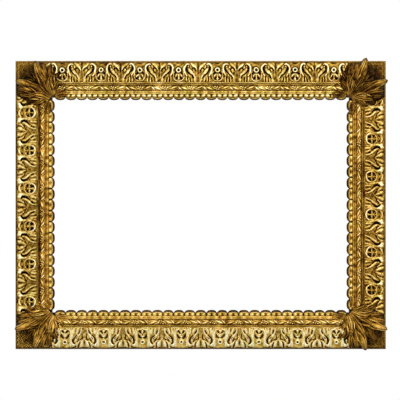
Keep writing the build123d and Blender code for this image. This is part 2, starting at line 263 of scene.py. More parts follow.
def smooth_route(route, parts=4):
    """A route of (x, y, half width) points rounded through its points."""
    if len(route) < 3:
        return [tuple(map(float, point)) for point in route]
    points = [np.array(point, float) for point in (route[0], *route, route[-1])]
    out = []
    for before, start, end, after in zip(points[:-3], points[1:-2], points[2:-1], points[3:]):
        for part in range(parts):
            t = part / parts
            cubic = 2 * start + (end - before) * t + (2 * before - 5 * start + 4 * end - after) * t ** 2
            cubic += (3 * start - before - 3 * end + after) * t ** 3
            out.append(tuple(cubic / 2))
    out.append(tuple(points[-2]))
    return out


class Carving:
    """Heights of a drawn motif over its ground, and its painted highlights and painted shade, partly also
    wear of the gold, on a square grid.
    """

    def __init__(self, width, height, ground):
        places = [np.arange(0, size + drawn_step, drawn_step) for size in (width, height)]
        self.x, self.y = np.meshgrid(*places)
        self.heights = np.full(self.x.shape, float(ground))
        self.tone = np.zeros(self.x.shape)

    def near(self, route):
        """Distance from a route in half widths, and the same with the sign of its side."""
        points = smooth_route(route)
        best = np.full(self.x.shape, 1e9)
        side = np.zeros(self.x.shape)
        for (x0, y0, w0), (x1, y1, w1) in zip(points[:-1], points[1:]):
            along_x = x1 - x0
            along_y = y1 - y0
            span = max(along_x ** 2 + along_y ** 2, 1e-9)
            share = np.clip(((self.x - x0) * along_x + (self.y - y0) * along_y) / span, 0, 1)
            off_x = self.x - x0 - share * along_x
            off_y = self.y - y0 - share * along_y
            distance = np.hypot(off_x, off_y) / (w0 + share * (w1 - w0))
            turn = np.sign(along_x * off_y - along_y * off_x)
            side = np.where(distance < best, turn * distance, side)
            best = np.minimum(best, distance)
        return best, side

    def rise(self, route, height, ribs=0, hollow=0.0):
        """A rounded ridge along a route, with ribs or a hollow along it."""
        distance, side = self.near(route)
        crown = np.clip(1 - distance ** 2, 0, 1) ** 0.42
        if ribs:
            crown *= 0.86 + 0.14 * np.cos(side * math.pi * ribs)
        crown *= 1 - hollow * np.clip(1 - distance * 1.6, 0, 1)
        self.heights = np.where(distance < 1, np.maximum(self.heights, height * crown), self.heights)

    def cut(self, route, depth):
        """A steep-sided slot along a route."""
        distance, _ = self.near(route)
        wall = smooth_step(0.45, 1.15, distance)
        self.heights = self.heights * wall + np.minimum(self.heights, depth) * (1 - wall)

    def touch(self, route, tone):
        """A painted highlight along a route for a positive amount, partly also wear of the gold, and
        painted shade for a negative one.
        """
        distance, _ = self.near(route)
        # Painted light along the route: lighter for a positive amount, darker for a negative one
        self.tone += tone * np.exp(-(distance * 1.1) ** 2)

    def ring(self, y, radius, half, levels, reaches, gleam):
        """A round-topped ring in the unit's middle: levels of its crown, foot, moat and hole, and a painted
        highlight round its crown.
        """
        crown, foot, moat, hole = levels
        hole_reach, moat_start, foot_reach, moat_end = reaches
        around = np.hypot(self.x - drawn_pitch, self.y - y)
        in_moat = (around > moat_start) & (around < moat_end)
        self.heights = np.where(in_moat, np.minimum(self.heights, moat), self.heights)
        rounded = crown * np.sqrt(np.clip(1 - ((around - radius) / half) ** 2, 0, 1))
        self.heights = np.where(around < foot_reach, np.maximum(rounded, foot), self.heights)
        self.heights = np.where(around < hole_reach, hole, self.heights)
        # A painted highlight round the ring's crown
        self.tone += gleam[0] * np.exp(-((around - radius) / gleam[1]) ** 2)


def arched_palmette(motif):
    """Half a palmette with arched leaves, its scroll and the tuft under it, as on the top."""
    rise, cut, touch = motif.rise, motif.cut, motif.touch
    rise([(0, -2, 5.6), (0, 14, 4.6), (0, 26, 3.6), (0, 35, 2.2)], 4.5, hollow=0.2)
    rise([(4.9, 0, 1.1), (4.4, 14, 1.2), (3.4, 26, 1.1), (1.8, 34, 0.8)], 5.7)
    rise([(7.8, 0, 2.6), (8.4, 9, 3.4), (12.2, 18, 4.6), (17.6, 25.6, 4.8), (22.4, 31.2, 4.2),
          (24, 35.4, 2.4)], 6.5, ribs=3)
    rise([(2.9, 31, 1.6), (5.6, 36.4, 4), (9.6, 41.6, 5.6), (14.6, 45.4, 4.6), (18, 47.8, 2)], 6.3)
    rise([(16.8, 35.2, 1.8), (18.8, 39, 2.6), (19.4, 43.2, 1.9)], 5.9)
    rise([(14.8, 1, 2.6), (16.2, 7, 3.2), (17.6, 12.6, 2.4)], 5)
    rise([(20.8, 14.8, 2.8), (22.6, 18.4, 2.2)], 5.4)
    rise([(22.4, 1, 2.6), (23, 7.6, 3.2), (22.6, 12.2, 2.2)], 5.2)
    rise([(29, 1, 2.6), (29.8, 8, 3.3), (29, 13.4, 2.4)], 5.3)
    rise([(28.4, 16.4, 2.6), (31.8, 22.4, 3.2), (34.6, 29.6, 3.4), (35.2, 37.2, 3.4),
          (32, 44, 3.4), (26.6, 47, 2.9), (22.4, 45.4, 2.3)], 6.9)
    rise([(25.2, 40.4, 2.8), (25.3, 40.6, 2.8)], 6.5)
    cut([(0, 33, 0.5), (0, 51, 1)], 0.8)
    cut([(10.2, 9.4, 0.9), (12.4, 13.2, 1.7), (15, 17.2, 1), (20.6, 21.2, 1.2), (26.2, 26.8, 1.8),
         (29.6, 33, 2.1), (29.9, 38.6, 1.8), (27.4, 42.4, 0.9)], -2)
    cut([(18.9, 0, 0.6), (19.5, 8, 0.9), (20, 11.4, 0.7)], 0.6)
    cut([(26, 1, 0.6), (26.2, 9, 1), (26.4, 13.6, 0.8)], 0.4)
    cut([(5.6, 29.4, 1), (7.6, 34.4, 1.3), (11.4, 36.6, 1.3), (15.4, 34.6, 1.2), (15.4, 31, 1.1),
         (12.2, 24.8, 0.8)], -0.6)
    touch([(12, 32, 1.6), (11.4, 27.6, 1.4)], 0.2)
    touch([(5, 38, 1.6), (5.2, 46, 1.8)], 0.2)
    touch([(33.8, 26, 1.8), (36, 37, 2), (32.4, 45.2, 2.2), (26.6, 47.6, 1.8)], 0.22)
    touch([(8.6, 6, 2.6), (10.4, 13, 3.2), (14, 19.6, 3.4), (18.8, 26.6, 3)], 0.22)
    touch([(25.2, 40.4, 1.6), (25.2, 40.5, 1.6)], 0.3)
    touch([(28.6, 19, 2.4), (28.7, 19, 2.4)], 0.2)
    touch([(0, 0, 3.6), (0, 22, 3), (0, 50, 2)], -0.1)


def leafy_palmette(motif):
    """Half a palmette with broad leaves and a round-ended scroll, as on the other three sides."""
    rise, cut, touch = motif.rise, motif.cut, motif.touch
    rise([(0, -2, 5), (0, 16, 4), (0, 30, 3), (0, 40, 1.6)], 4.6, ribs=2)
    rise([(6.5, 0, 3.6), (8.4, 9, 4.6), (12.6, 17.6, 5.2), (18.4, 24.6, 5.4), (22.6, 30.6, 5),
          (23.6, 35.2, 3.4)], 6.2, ribs=1)
    rise([(16, 2, 4), (18, 9, 4.2), (19.6, 14, 3)], 5.6)
    rise([(25.6, 2, 4.4), (26.4, 9.6, 4.4), (26.6, 15, 3.2)], 5.8)
    rise([(33, 1, 2.6), (31.2, 10, 3), (31, 18, 3.6), (33.2, 26, 4.2), (34, 34, 4.6), (31, 41, 5.2),
          (27.4, 44.4, 5)], 6.5)
    rise([(27.4, 44, 6), (27.6, 44.1, 6)], 7.4)
    rise([(2.6, 29, 2.4), (5.2, 35.6, 4.6), (7.6, 41.4, 6.4), (8.8, 44.6, 5.8)], 6.6)
    rise([(11.4, 31, 2.6), (15.6, 36, 4.4), (18.2, 40.4, 4.8), (18.8, 43.6, 4.2)], 6)
    cut([(10.4, 6, 0.6), (12.6, 11, 1.5), (14.8, 14.8, 0.9)], -1.6)
    cut([(19.2, 18.4, 0.8), (24.8, 23.8, 1.5), (28.4, 30.6, 1.9), (28.4, 36.2, 1.7),
         (25.6, 39.4, 0.9)], -2)
    cut([(3.8, 25.4, 0.6), (9, 29.6, 1.1), (14.6, 31.6, 1.2), (19, 36.6, 0.8)], -0.8)
    cut([(12.6, 37.6, 0.5), (14.6, 43, 0.9), (14.8, 48.4, 1.2)], 0.4)
    cut([(22.2, 3, 0.5), (22.6, 10.5, 0.8)], 1.6)
    cut([(0, 36, 0.5), (0, 51, 0.9)], 0.8)
    touch([(8, 3, 3.4), (10.4, 13, 3), (15, 20.6, 3), (20.6, 28, 2.8)], 0.16)
    touch([(26, 6, 3.6), (26.4, 12, 3)], 0.2)
    touch([(17, 5, 2.6), (18.6, 12, 2.4)], 0.14)
    touch([(33.6, 36, 2.6), (31, 42, 4.2), (27, 45, 4.6)], 0.4)
    touch([(6, 38, 3.6), (8.4, 44, 3.8)], 0.18)
    touch([(15.2, 40, 3), (17, 44.4, 3)], 0.18)
    touch([(0, 0, 3.2), (0, 24, 2.6), (0, 50, 1.8)], -0.14)


def ring_in_horseshoe(motif):
    """A pierced ring over a trefoil, inside a horseshoe, as on the top."""
    rise, cut, touch = motif.rise, motif.cut, motif.touch
    rise([(centre, 43, 6.5), (centre - 4, 41, 5)], 3.2)
    rise([(36.4, 26, 1.6), (36, 16, 1.7), (37.6, 9.4, 1.9), (41, 5.1, 2), (45.4, 2.9, 2.1),
          (centre + 1, 2.3, 2.1)], 6.3)
    rise([(centre, 22, 2.6), (centre, 14, 2.3), (centre, 8.4, 3), (centre, 5.6, 2)], 5.4)
    rise([(47.4, 21.4, 1.6), (43.6, 18.2, 2.6), (41.2, 14.2, 1.9)], 5.8)
    cut([(46.7, 13.8, 0.9), (43.6, 9.8, 1.8), (41.5, 7.6, 1)], -2.2)
    cut([(40.2, 21.8, 1.7), (43.2, 25.8, 1.5)], -2)
    cut([(44, 49.6, 1.3), (centre, 48.9, 1.9)], -1)
    motif.ring(31.4, 4.9, 2.7, (7, 0, 1.6, -2.5), (2.4, 7.2, 7.6, 9), (0.34, 2))
    touch([(42.4, 16.6, 1.8), (43.6, 18.4, 1.8)], 0.25)
    touch([(centre, 9.4, 2.2), (centre, 7, 2)], 0.25)


def cross_and_ring(motif):
    """Four slots in a cross over a small ring between broad bands, as on the bottom."""
    rise, cut, touch = motif.rise, motif.cut, motif.touch
    rise([(38.4, 2, 2.6), (35.2, 12, 3.4), (34.4, 22, 4), (34.8, 34, 4.4), (35.6, 46, 4.2)], 6.6)
    rise([(38.6, 6.4, 2.2), (42.4, 3.4, 2.4), (47, 2.4, 2)], 6)
    rise([(centre, 30, 6.4), (centre, 17, 7), (centre, 8, 5)], 5.2)
    cut([(47.4, 13.8, 1.1), (44.2, 10, 2.4), (42.2, 7.2, 1.4)], -3)
    cut([(centre, 15.4, 0.6), (centre, 20, 0.5)], 0.8)
    cut([(47.6, 25.4, 1.1), (43.6, 25, 2.7), (40.6, 20, 2.1), (40, 16.8, 1.2)], -3)
    cut([(11.6, 36.6, 0.7), (13.8, 43.6, 1.4), (14.6, 49.6, 1.3)], -1.4)
    cut([(4.2, 30.2, 0.7), (5.4, 24, 1.3), (5.2, 16, 0.8)], -1.4)
    cut([(13.2, 26, 0.6), (17.8, 31.4, 1.2)], -1.2)
    cut([(17.6, 22.6, 0.6), (21.8, 28.2, 1.2)], -1.2)
    cut([(21.6, 47.4, 1.1), (25, 49.8, 1.6), (31, 50.4, 1)], -1.4)
    cut([(2.4, 50.2, 1.2), (9, 50.6, 1)], -1.2)
    motif.ring(36, 4.6, 2.8, (6.6, 0.8, 9, -1.2), (2.2, 7.4, 7.4, 7.4), (0.4, 2.2))
    cut([(22.4, 21.6, 0.8), (26.6, 27, 1.7), (28.2, 33, 2.4), (27, 38.4, 2.2),
         (24.4, 41, 1.2)], -2.4)
    touch([(35.4, 12, 3.2), (34.2, 24, 3.8), (35.2, 42, 4)], 0.18)
    touch([(39.4, 6, 2.6), (45, 3.2, 2.4)], 0.14)
    touch([(centre, 12, 2.6), (centre, 26, 2.6)], 0.16)


def spoked_ring(motif):
    """Slots round a hub inside a ring, with round-ended scrolls outside, as on the left and right."""
    rise, cut, touch = motif.rise, motif.cut, motif.touch
    rise([(centre, 32, 4.6), (centre, 18, 10.4), (centre, 6, 5)], 4.6)
    rise([(centre, 31.4, 2.1), (44.2, 30.2, 2.3), (39.6, 27.2, 2.5), (36.6, 22.6, 2.7)], 5.8)
    rise([(36.4, 22.6, 2.7), (35.3, 17, 3), (36.6, 11.2, 3.2), (40, 6.8, 3.3), (44.6, 4.2, 3.2),
          (centre + 1, 3.3, 3.1)], 6.9)
    rise([(centre, 20, 3.2), (centre, 8, 1.6)], 5.8)
    rise([(45.4, 18.4, 1.5), (39.6, 17, 1.3)], 5.4)
    rise([(33.6, 42.4, 6), (33.8, 42.6, 6)], 7.2)
    rise([(40.6, 41.2, 2.4), (44, 44, 3.2), (centre, 45.4, 3.4)], 6)
    cut([(46.4, 14.6, 1.2), (43.8, 10.6, 2.9), (42.8, 8.4, 1.6)], -3)
    cut([(42.4, 15, 1.3), (40, 13.4, 1.6)], -2.4)
    cut([(45.4, 22.4, 1.2), (42, 23.4, 2.3), (40, 22, 1.3)], -2.8)
    cut([(47.4, 26, 1.2), (46, 27.2, 1.4)], -2)
    cut([(22.4, 21.6, 0.9), (26.6, 27, 2.2), (28, 32.6, 2.6), (26.2, 37.4, 2),
         (23.6, 39.4, 1)], -2.6)
    cut([(41.6, 36.4, 1.7), (44.6, 38.4, 1.1)], -1.6)
    cut([(45, 50.4, 1.1), (centre, 49.6, 1.5)], -1.2)
    touch([(36.2, 16, 3), (40, 7.4, 3.2), (45, 4.4, 3.2), (centre, 3.4, 3.2)], 0.3)
    touch([(33.6, 42.4, 5.4), (33.8, 42.6, 5.4)], 0.34)
    touch([(44.6, 44.2, 3), (centre, 45.6, 3.2)], 0.2)


def motif_tables(draw_palmette, draw_middle, wear_and_shading):
    """Height and lightness of half a unit of the frieze, over (along, across from the inner side)."""
    motif = Carving(drawn_pitch, frieze_width, drawn_ground)
    draw_palmette(motif)
    draw_middle(motif)
    heights = blurred(motif.heights, 1)
    mirrored = np.concatenate([heights[:, ::-1], heights, heights[:, ::-1]], 1)
    local = blurred(mirrored, 9)[:, heights.shape[1]:2 * heights.shape[1]]
    # Painted light from the carving: lighter on raised forms and ridges, darker in the hollows
    light = 0.10 * (heights - local) + 0.04 * (heights - 4.4) + 0.17 * smooth_step(4.2, 5.8, heights)
    light = 0.50 + wear_and_shading * (light + blurred(motif.tone, 1) - 0.09)
    # Painted shade: slots and piercings below the ground are kept dark
    light = np.where(heights < 1.0, np.minimum(light, 0.04 + 0.06 * (heights + 2)), light)
    return heights, np.clip(light, 0, 1)


def look_up(table, x, y):
    """Values of a table at places between its points."""
    across = np.clip(y / drawn_step, 0, table.shape[0] - 1.001)
    along = np.clip(x / drawn_step, 0, table.shape[1] - 1.001)
    row = across.astype(int)
    column = along.astype(int)
    down = across - row
    right = along - column
    upper = table[row, column] * (1 - right) + table[row, column + 1] * right
    lower = table[row + 1, column] * (1 - right) + table[row + 1, column + 1] * right
    return upper * (1 - down) + lower * down


def across_rows(start, end, steps):
    """Places across a strip: an even spread and a close pair at each step of the section."""
    rows = set(np.round(np.linspace(start, end, int((end - start) / grid_step) + 1), 4))
    for step in steps:
        rows |= {step - 0.06, step + 0.06}
    return np.array(sorted(row for row in rows if start <= row <= end))


def strip_places(side, rows):
    """Places along and across a mitred strip, from mitre to mitre."""
    length = sides[side][0]
    count = int(length / grid_step)
    across = rows[:, None] * np.ones((1, count))
    return np.linspace(-0.5, 0.5, count)[None, :] * (length - 2 * across), across


def strip_points(side, along, across, height):
    """Points of a strip in the frame, from places along, across and above the back."""
    _, middle, way, inwards = sides[side]
    points = np.array(middle) + along[..., None] * np.array(way) + across[..., None] * np.array(inwards)
    points[..., 1] = -height
    return points


def grid_faces(index):
    """The quads of a grid of point numbers."""
    corners = [index[:-1, :-1], index[:-1, 1:], index[1:, 1:], index[1:, :-1]]
    return np.stack(corners, -1).reshape(-1, 4)


ungilded_light = 0.16


def in_scene(name, data):
    """A mesh, lamp or camera as an object in the scene."""
    item = bpy.data.objects.new(name, data)
    bpy.context.scene.collection.objects.link(item)
    return item


class CarvedPiece:
    """Closed carved solids gathered into one mesh, with how light each point of the gilding is."""

    def __init__(self, name):
        self.name = name
        self.points = []
        self.light = []
        self.smooth_faces = []
        self.flat_faces = []
        self.count = 0

    def add_grid(self, points, light):
        """Take in a grid of points and return the grid of their numbers."""
        shape = points.shape[:2]
        numbers = self.count + np.arange(math.prod(shape)).reshape(shape)
        self.points.append(points.reshape(-1, 3))
        self.light.append(np.broadcast_to(light, shape).reshape(-1))
        self.count += numbers.size
        return numbers

    def add_strip(self, front, light, low):
        """A mitred strip: a carved front over a flat back at one height."""
        index = self.add_grid(front, light)
        base = front[[0, -1]]
        base[..., 1] = -low
        under = self.add_grid(base, ungilded_light)
        self.smooth_faces.append(grid_faces(index))
        self.flat_faces += grid_faces(np.stack([under[0], index[0]])).tolist()
        self.flat_faces += grid_faces(np.stack([index[-1], under[1]])).tolist()
        self.flat_faces += grid_faces(under[::-1]).tolist()
        self.flat_faces.append([under[0, 0], *index[:, 0], under[1, 0]])
        self.flat_faces.append([under[1, -1], *index[::-1, -1], under[0, -1]])

    def add_shell(self, front, light, under):
        """A grid of points over another, closed by walls."""
        index = self.add_grid(front, light)
        # Painted shade: the underside and walls are four times darker than the front
        back = self.add_grid(under, light * 0.25)
        edge = np.concatenate([index[0, :-1], index[:-1, -1], index[-1, :0:-1], index[:0:-1, 0]])
        skirt = edge + index.size
        walls = np.stack([np.roll(edge, -1), edge, skirt, np.roll(skirt, -1)], -1)
        self.smooth_faces += [grid_faces(index), grid_faces(back[::-1]), walls]

    def made(self, replaced, material, body="frame"):
        """The finished piece, in place of its CAD node."""
        smooth = np.concatenate(self.smooth_faces).tolist()
        mesh = bpy.data.meshes.new(self.name)
        mesh.from_pydata((np.concatenate(self.points) * mm).tolist(), [], smooth + self.flat_faces)
        mesh.polygons.foreach_set("use_smooth", [True] * len(smooth) + [False] * len(self.flat_faces))
        # The light attribute holds the gilding's painted highlights and painted shade
        shade = mesh.attributes.new("light", "FLOAT", "POINT")
        shade.data.foreach_set("value", np.concatenate(self.light).astype(np.float32))
        mesh.materials.append(material)
        piece = in_scene(self.name, mesh)
        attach(piece, body)
        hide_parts(replaced)


def gilding_group():
    """Leaf over bole: painted highlights and painted shade, brown toning in the hollows, and reddish and
    greenish patches.
    """
    group, given = new_group("worn_and_painted_light_gilding", Light="Float", Place="Vector", Redness="Float")
    place = given["Place"]
    patches = sum_of(group, "SUBTRACT", noise_of(group, place, 14.0, 3.0), 0.5)
    wear_and_shading = sum_of(group, "SUBTRACT", noise_of(group, place, 120.0, 5.0), 0.5)
    speckle = noise_of(group, place, 800.0, 3.0)
    # The Light input holds painted highlights and painted shade, which stand also for wear on the high
    # points and toning in the hollows
    level = sum_of(group, "MULTIPLY_ADD", patches, 0.30, given["Light"])
    level = sum_of(group, "MULTIPLY_ADD", wear_and_shading, 0.38, level)
    crumbs = sum_of(group, "SUBTRACT", noise_of(group, place, 330.0, 2.0), 0.5)
    level = sum_of(group, "MULTIPLY_ADD", crumbs, 0.34, level)
    # The ramp runs from painted shade, near black, to painted highlight, pale cream
    gold = ramp_of(group, level, [
        (0.0, (0.006, 0.003, 0.0005)), (0.13, (0.035, 0.015, 0.002)), (0.30, (0.17, 0.085, 0.010)),
        (0.48, (0.42, 0.25, 0.035)), (0.66, (0.72, 0.49, 0.11)), (0.82, (0.98, 0.77, 0.31)),
        (1.0, (1.0, 0.94, 0.62)),
    ])
    bole = ramp_of(group, noise_of(group, place, 46.0), [(0.56, (0, 0, 0)), (0.70, (0.45, 0.45, 0.45))])
    olive = ramp_of(group, noise_of(group, place, 33.0), [(0.52, (0, 0, 0)), (0.70, (0.5, 0.5, 0.5))])
    tints = ((bole, (1.0, 0.66, 0.52)), (olive, (0.82, 0.94, 0.66)), (given["Redness"], (1.0, 0.87, 0.76)))
    for amount, tint in tints:
        gold = mix_of(group, amount, gold, mix_of(group, 1.0, gold, tint, "MULTIPLY"))
    rough = sum_of(group, "MULTIPLY_ADD", speckle, 0.25, 0.27)
    return put_out(group, gold, rough, sum_of(group, "ADD", speckle, wear_and_shading))


def gilding_of(name, redness):
    """Gilding coloured by each piece's painted highlights and painted shade, with more or less of the red
    bole under the whole leaf.
    """
    def inputs(tree, place):
        light = add_node(tree, "ShaderNodeAttribute", attribute_name="light")
        return {"Light": light.outputs["Fac"], "Place": place, "Redness": redness}
    return new_material(name, worn_and_painted_light_gilding, inputs, 0.0003, Metallic=0.95)


worn_and_painted_light_gilding = gilding_group()
gilding = gilding_of("worn_and_painted_light_gilding", 0.0)
reddish_gilding = gilding_of("reddish_gilding", 0.45)
red_gilding = gilding_of("red_gilding", 0.9)
spoked_tables = motif_tables(leafy_palmette, spoked_ring, 0.66)
unit_tables = {
    "top": motif_tables(arched_palmette, ring_in_horseshoe, 1.0),
    "bottom": motif_tables(leafy_palmette, cross_and_ring, 0.92),
    "left": spoked_tables,
    "right": spoked_tables,
}
# Painted light by side: how much lighter or darker each side is painted as the light falls on it,
# the painted lightness of its outer and inner lists, and the lightness of the punched ground at its
# two ends
side_painted_light = {"top": -0.02, "bottom": 0.24, "left": 0.0, "right": -0.05}
edge_list_painted_light = {"top": 0.38, "bottom": 0.24, "left": 0.26, "right": 0.36}
inner_list_painted_light = {"top": 0.74, "bottom": 0.72, "left": 0.50, "right": 0.46}
punch_tone = {"top": (0.07, 0.12), "bottom": (0.30, 0.10), "left": (0.12, 0.30), "right": (0.10, 0.07)}
punch_row = 5.5
punch_pitch = 6.6

for number, side in enumerate(sides):
    seed = 7 * number
    rows = across_rows(0, frieze_strip, [edge_list_width, frieze_end])
    along, across = strip_places(side, rows)
    place = (along - run_offsets[side]) / (run_pitches[side] / 2)
    fold = np.abs((place + 1) % 2 - 1) * drawn_pitch
    fold += 0.8 * uneven(seed + 1, along + across, 31)
    inward = frieze_end - across + 0.8 * uneven(seed + 2, along - across, 37)
    relief = look_up(unit_tables[side][0], fold, inward)
    shade = look_up(unit_tables[side][1], fold, inward)
    relief *= 1 + 0.05 * uneven(seed + 3, along, 55)
    margin = np.where(along < 0, *run_margins[side])
    limit = sides[side][0] / 2 - margin - 0.5 * (across - edge_list_width)
    on_run = smooth_step(0, 3, limit - np.abs(along))
    zigzag = np.abs((along / punch_row) % 2 - 1) * punch_row
    punches = smooth_step(0.1, 0.9, np.cos((across + zigzag) * 2 * math.pi / punch_pitch))
    relief = relief * on_run + (1 - on_run) * (0.3 + 0.7 * punches)
    to_corner = np.hypot(moulding_width - across, sides[side][0] / 2 - moulding_width - np.abs(along))
    # Painted shade on the punched ground near the corners, under the leaves, with a lighter line beside the
    # outer list
    ground = 0.09 + 0.14 * smooth_step(98, 120, to_corner)
    ground += 0.08 * uneven(seed + 4, along * 1.7 + across, 9)
    ground += 0.16 * np.exp(-((across - edge_list_width - 3.4) / 1.3) ** 2)
    ground += np.where(along < 0, *punch_tone[side]) * (punches - 0.2)
    wear = 0.11 * uneven(seed + 6, along + 2 * across, 26)
    wear += 0.09 * uneven(seed + 8, along - 1.4 * across, 13)
    # Each side painted lighter or darker as the light falls on it, with uneven wear on the raised forms
    shade = (shade + side_painted_light[side] + wear * (shade > 0.2)) * on_run + (1 - on_run) * ground
    # Painted shade on the right side's outer band
    if side == "right":
        shade -= 0.06 * smooth_step(11.0, 7.0, across)
    # The bottom side's painted highlights held back
    if side == "bottom":
        shade -= 0.5 * np.clip(shade - 0.76, 0, 1)
    height = frieze_foot + frieze_lift * (across - edge_list_width) / frieze_width + relief
    outside = across < edge_list_width
    list_round = ((across - edge_list_width / 2) / (edge_list_width / 2)) ** 2
    height = np.where(outside, edge_list_top - 1.2 * list_round, height)
    # Painted light on the outer list by side, with painted shade on its rounded flanks
    shade = np.where(outside, edge_list_painted_light[side] - 0.12 * list_round, shade)
    inside = across > frieze_end
    middle = (frieze_end + frieze_strip) / 2
    list_round = np.clip(((across - middle) / (frieze_strip - middle)) ** 2, 0, 1)
    height = np.where(inside, inner_list_top - 1.6 * list_round, height)
    # Painted light on the inner list by side, with uneven wear, and painted shade on its rounded flanks
    list_light_and_wear = inner_list_painted_light[side] + 0.16 * uneven(seed + 5, along, 44)
    shade = np.where(inside, list_light_and_wear - 0.5 * list_round, shade)
    piece = CarvedPiece(f"carved_frieze_{side}")
    piece.add_strip(strip_points(side, along, across, height), shade, board_top)
    piece.made(f"frieze_{side}", reddish_gilding if side == "right" else gilding)

# The torus: four mitred lengths with a half-round bead carved with a leaf-and-berry ribbon
# between a deep groove and a stepped list, gilded with the rest.

groove_end = frieze_strip + 4.0
bead_radius = 7.0
bead_end = groove_end + 2 * bead_radius
list_step = bead_end + 4.25
sight_start = bead_end + 8.5
ribbon_pitch = 66.0
ribbon_starts = {"top": 6, "bottom": 0, "left": 11, "right": 3}
bead_base = board_top + 18.0
# Painted shade in the groove and painted light on the lists, set for each side as the light falls on it
groove_painted_shade = {"top": 0.42, "bottom": 0.44, "left": 0.28, "right": 0.34}
torus_list_painted_light = {"top": 0.62, "bottom": 0.62, "left": 0.50, "right": 0.48}
torus_gilding = {"top": gilding, "bottom": reddish_gilding, "left": red_gilding, "right": red_gilding}


def ribbon_tables():
    """Height and lightness of one length of the bead's carving, over (along, round the bead)."""
    leaves = [
        [(-1, 5, 0.8), (6, 8.4, 2.6), (13, 12, 2.4), (19.5, 14.4, 0.7)],
        [(1, 19, 0.8), (8, 16.2, 2.2), (15, 17.2, 1.9), (21, 19.6, 0.7)],
        [(14, 4.4, 0.8), (19, 6.4, 1.9), (25, 5.0, 0.8)],
        [(37, 19, 0.8), (44, 15.0, 2.6), (51, 11, 2.6), (57.5, 8.6, 0.7)],
        [(43, 4.6, 0.8), (49, 6.0, 2.0), (56, 4.2, 0.7)],
        [(55, 18.6, 0.8), (59.6, 13.2, 2.0), (64.6, 7.6, 0.8)],
        [(46, 19.8, 0.8), (52, 18.2, 1.6), (58, 20, 0.7)],
    ]
    berries = [(23.6, 10.4, 2.2), (26.4, 15.2, 1.7), (35, 7.4, 2.3), (31, 16.4, 1.5), (62.6, 18, 1.4)]
    loop = [(28.4, 3), (29.4, 8.4), (32, 12.4), (35, 13.6), (38, 12.4), (40.6, 8.4), (41.6, 3)]
    # Painted highlights along some leaves, partly wear of the gold too
    rubbed_and_highlit_places = [
        ([(57, 16, 1.4), (63, 9.4, 1.4)], 0.3),
        ([(47, 13, 1.5), (52, 10.6, 1.5)], 0.22),
        ([(6, 8.4, 1.5), (12, 11.4, 1.5)], 0.2),
    ]
    ribbon = Carving(ribbon_pitch, math.pi * bead_radius, 0.0)
    for shift in (-ribbon_pitch, 0, ribbon_pitch):
        for leaf in leaves:
            ribbon.rise([(x + shift, y, w) for x, y, w in leaf], 1.3, ribs=2)
        for x, y, w in berries:
            ribbon.rise([(x + shift, y, w), (x + shift + 0.1, y, w)], 1.5)
            # A painted highlight on each berry
            ribbon.touch([(x + shift, y, w * 0.7), (x + shift + 0.1, y, w * 0.7)], 0.3)
        ribbon.rise([(x + shift, y, 1.3) for x, y in loop], 1.1)
        for highlit_route, tone in rubbed_and_highlit_places:
            ribbon.touch([(x + shift, y, w) for x, y, w in highlit_route], tone)
    heights = blurred(ribbon.heights, 1)
    # Painted light: lighter on the high points and darker in the hollows between them
    return heights, 0.42 + 0.3 * (heights - blurred(heights, 7)) + 0.14 * heights + ribbon.tone


ribbon_heights, ribbon_light = ribbon_tables()
bead_rows = groove_end + bead_radius - bead_radius * np.cos(np.linspace(0, math.pi, 26))
torus_rows = np.array([
    frieze_strip, frieze_strip + 1.5, *bead_rows, bead_end + 0.06, list_step - 1.2,
    list_step - 0.06, list_step + 0.06, list_step + 1.4, sight_start,
])
for number, side in enumerate(sides):
    seed = 5 * number + 40
    along, across = strip_places(side, torus_rows)
    off = np.clip((across - groove_end - bead_radius) / bead_radius, -1, 1)
    arc = np.arccos(-off)
    drift = (along + 1.6 * uneven(seed, along, 70) + ribbon_starts[side]) % ribbon_pitch
    relief = look_up(ribbon_heights, drift, arc * bead_radius)
    shade = look_up(ribbon_light, drift, arc * bead_radius)
    swell = np.sin(arc)
    height = bead_base + (bead_radius - 0.9) * swell + relief * np.sqrt(swell)
    # Painted shade towards the bead's flanks and a painted shadow along its outer flank, deepest on the
    # left, with uneven tone
    shade = shade * (0.72 + 0.28 * swell) + 0.06 * uneven(seed + 1, along, 23)
    shade -= (0.18 if side == "left" else 0.03) * smooth_step(2.0, 0.5, arc)
    shade += 0.10 * uneven(seed + 4, along + 3 * across, 17)
    shade += 0.09 * uneven(seed + 6, along, 48)
    groove = across < groove_end
    height = np.where(groove, bead_base + 2.4, height)
    shade = np.where(groove, groove_painted_shade[side] + 0.1 * uneven(seed + 3, along, 60), shade)
    lists = across > bead_end + 0.03
    ripple = 0.25 * uneven(seed + 2, along, 15)
    height = np.where(lists, bead_base + np.where(across < list_step, 2.0, 0.5) + ripple * 0.5, height)
    # Painted light on the lists, lighter where the ripple rises, with painted shade at the step and beside
    # the bead
    lists_light = torus_list_painted_light[side] + 0.1 * uneven(seed + 5, along, 19) + 0.5 * ripple
    lists_light -= 0.35 * (np.abs(across - list_step) < 0.1)
    shade = np.where(lists, lists_light - 0.10 * (across < bead_end + 0.1), shade)
    piece = CarvedPiece(f"carved_torus_{side}")
    piece.add_strip(strip_points(side, along, across, height), np.clip(shade, 0, 1), board_top)
    piece.made(f"torus_{side}", torus_gilding[side])

# The sight moulding: four mitred lengths cut into round tongues, each with two raised eyes beside
# a hollow and a rolled rim, over a ledge whose back is the rebate for the picture.

rebate_start = moulding_width - 8.0
ledge_end = moulding_width - 7.0
ledge_top = board_top + 10.5
lip_back = board_top + 3.0
tongue_counts = {"top": 27, "bottom": 27, "left": 19, "right": 19}
tongue_length = 15.0
tongue_gap = 1.5
tongue_root = board_top + 16.6
tongue_fall = 7.2


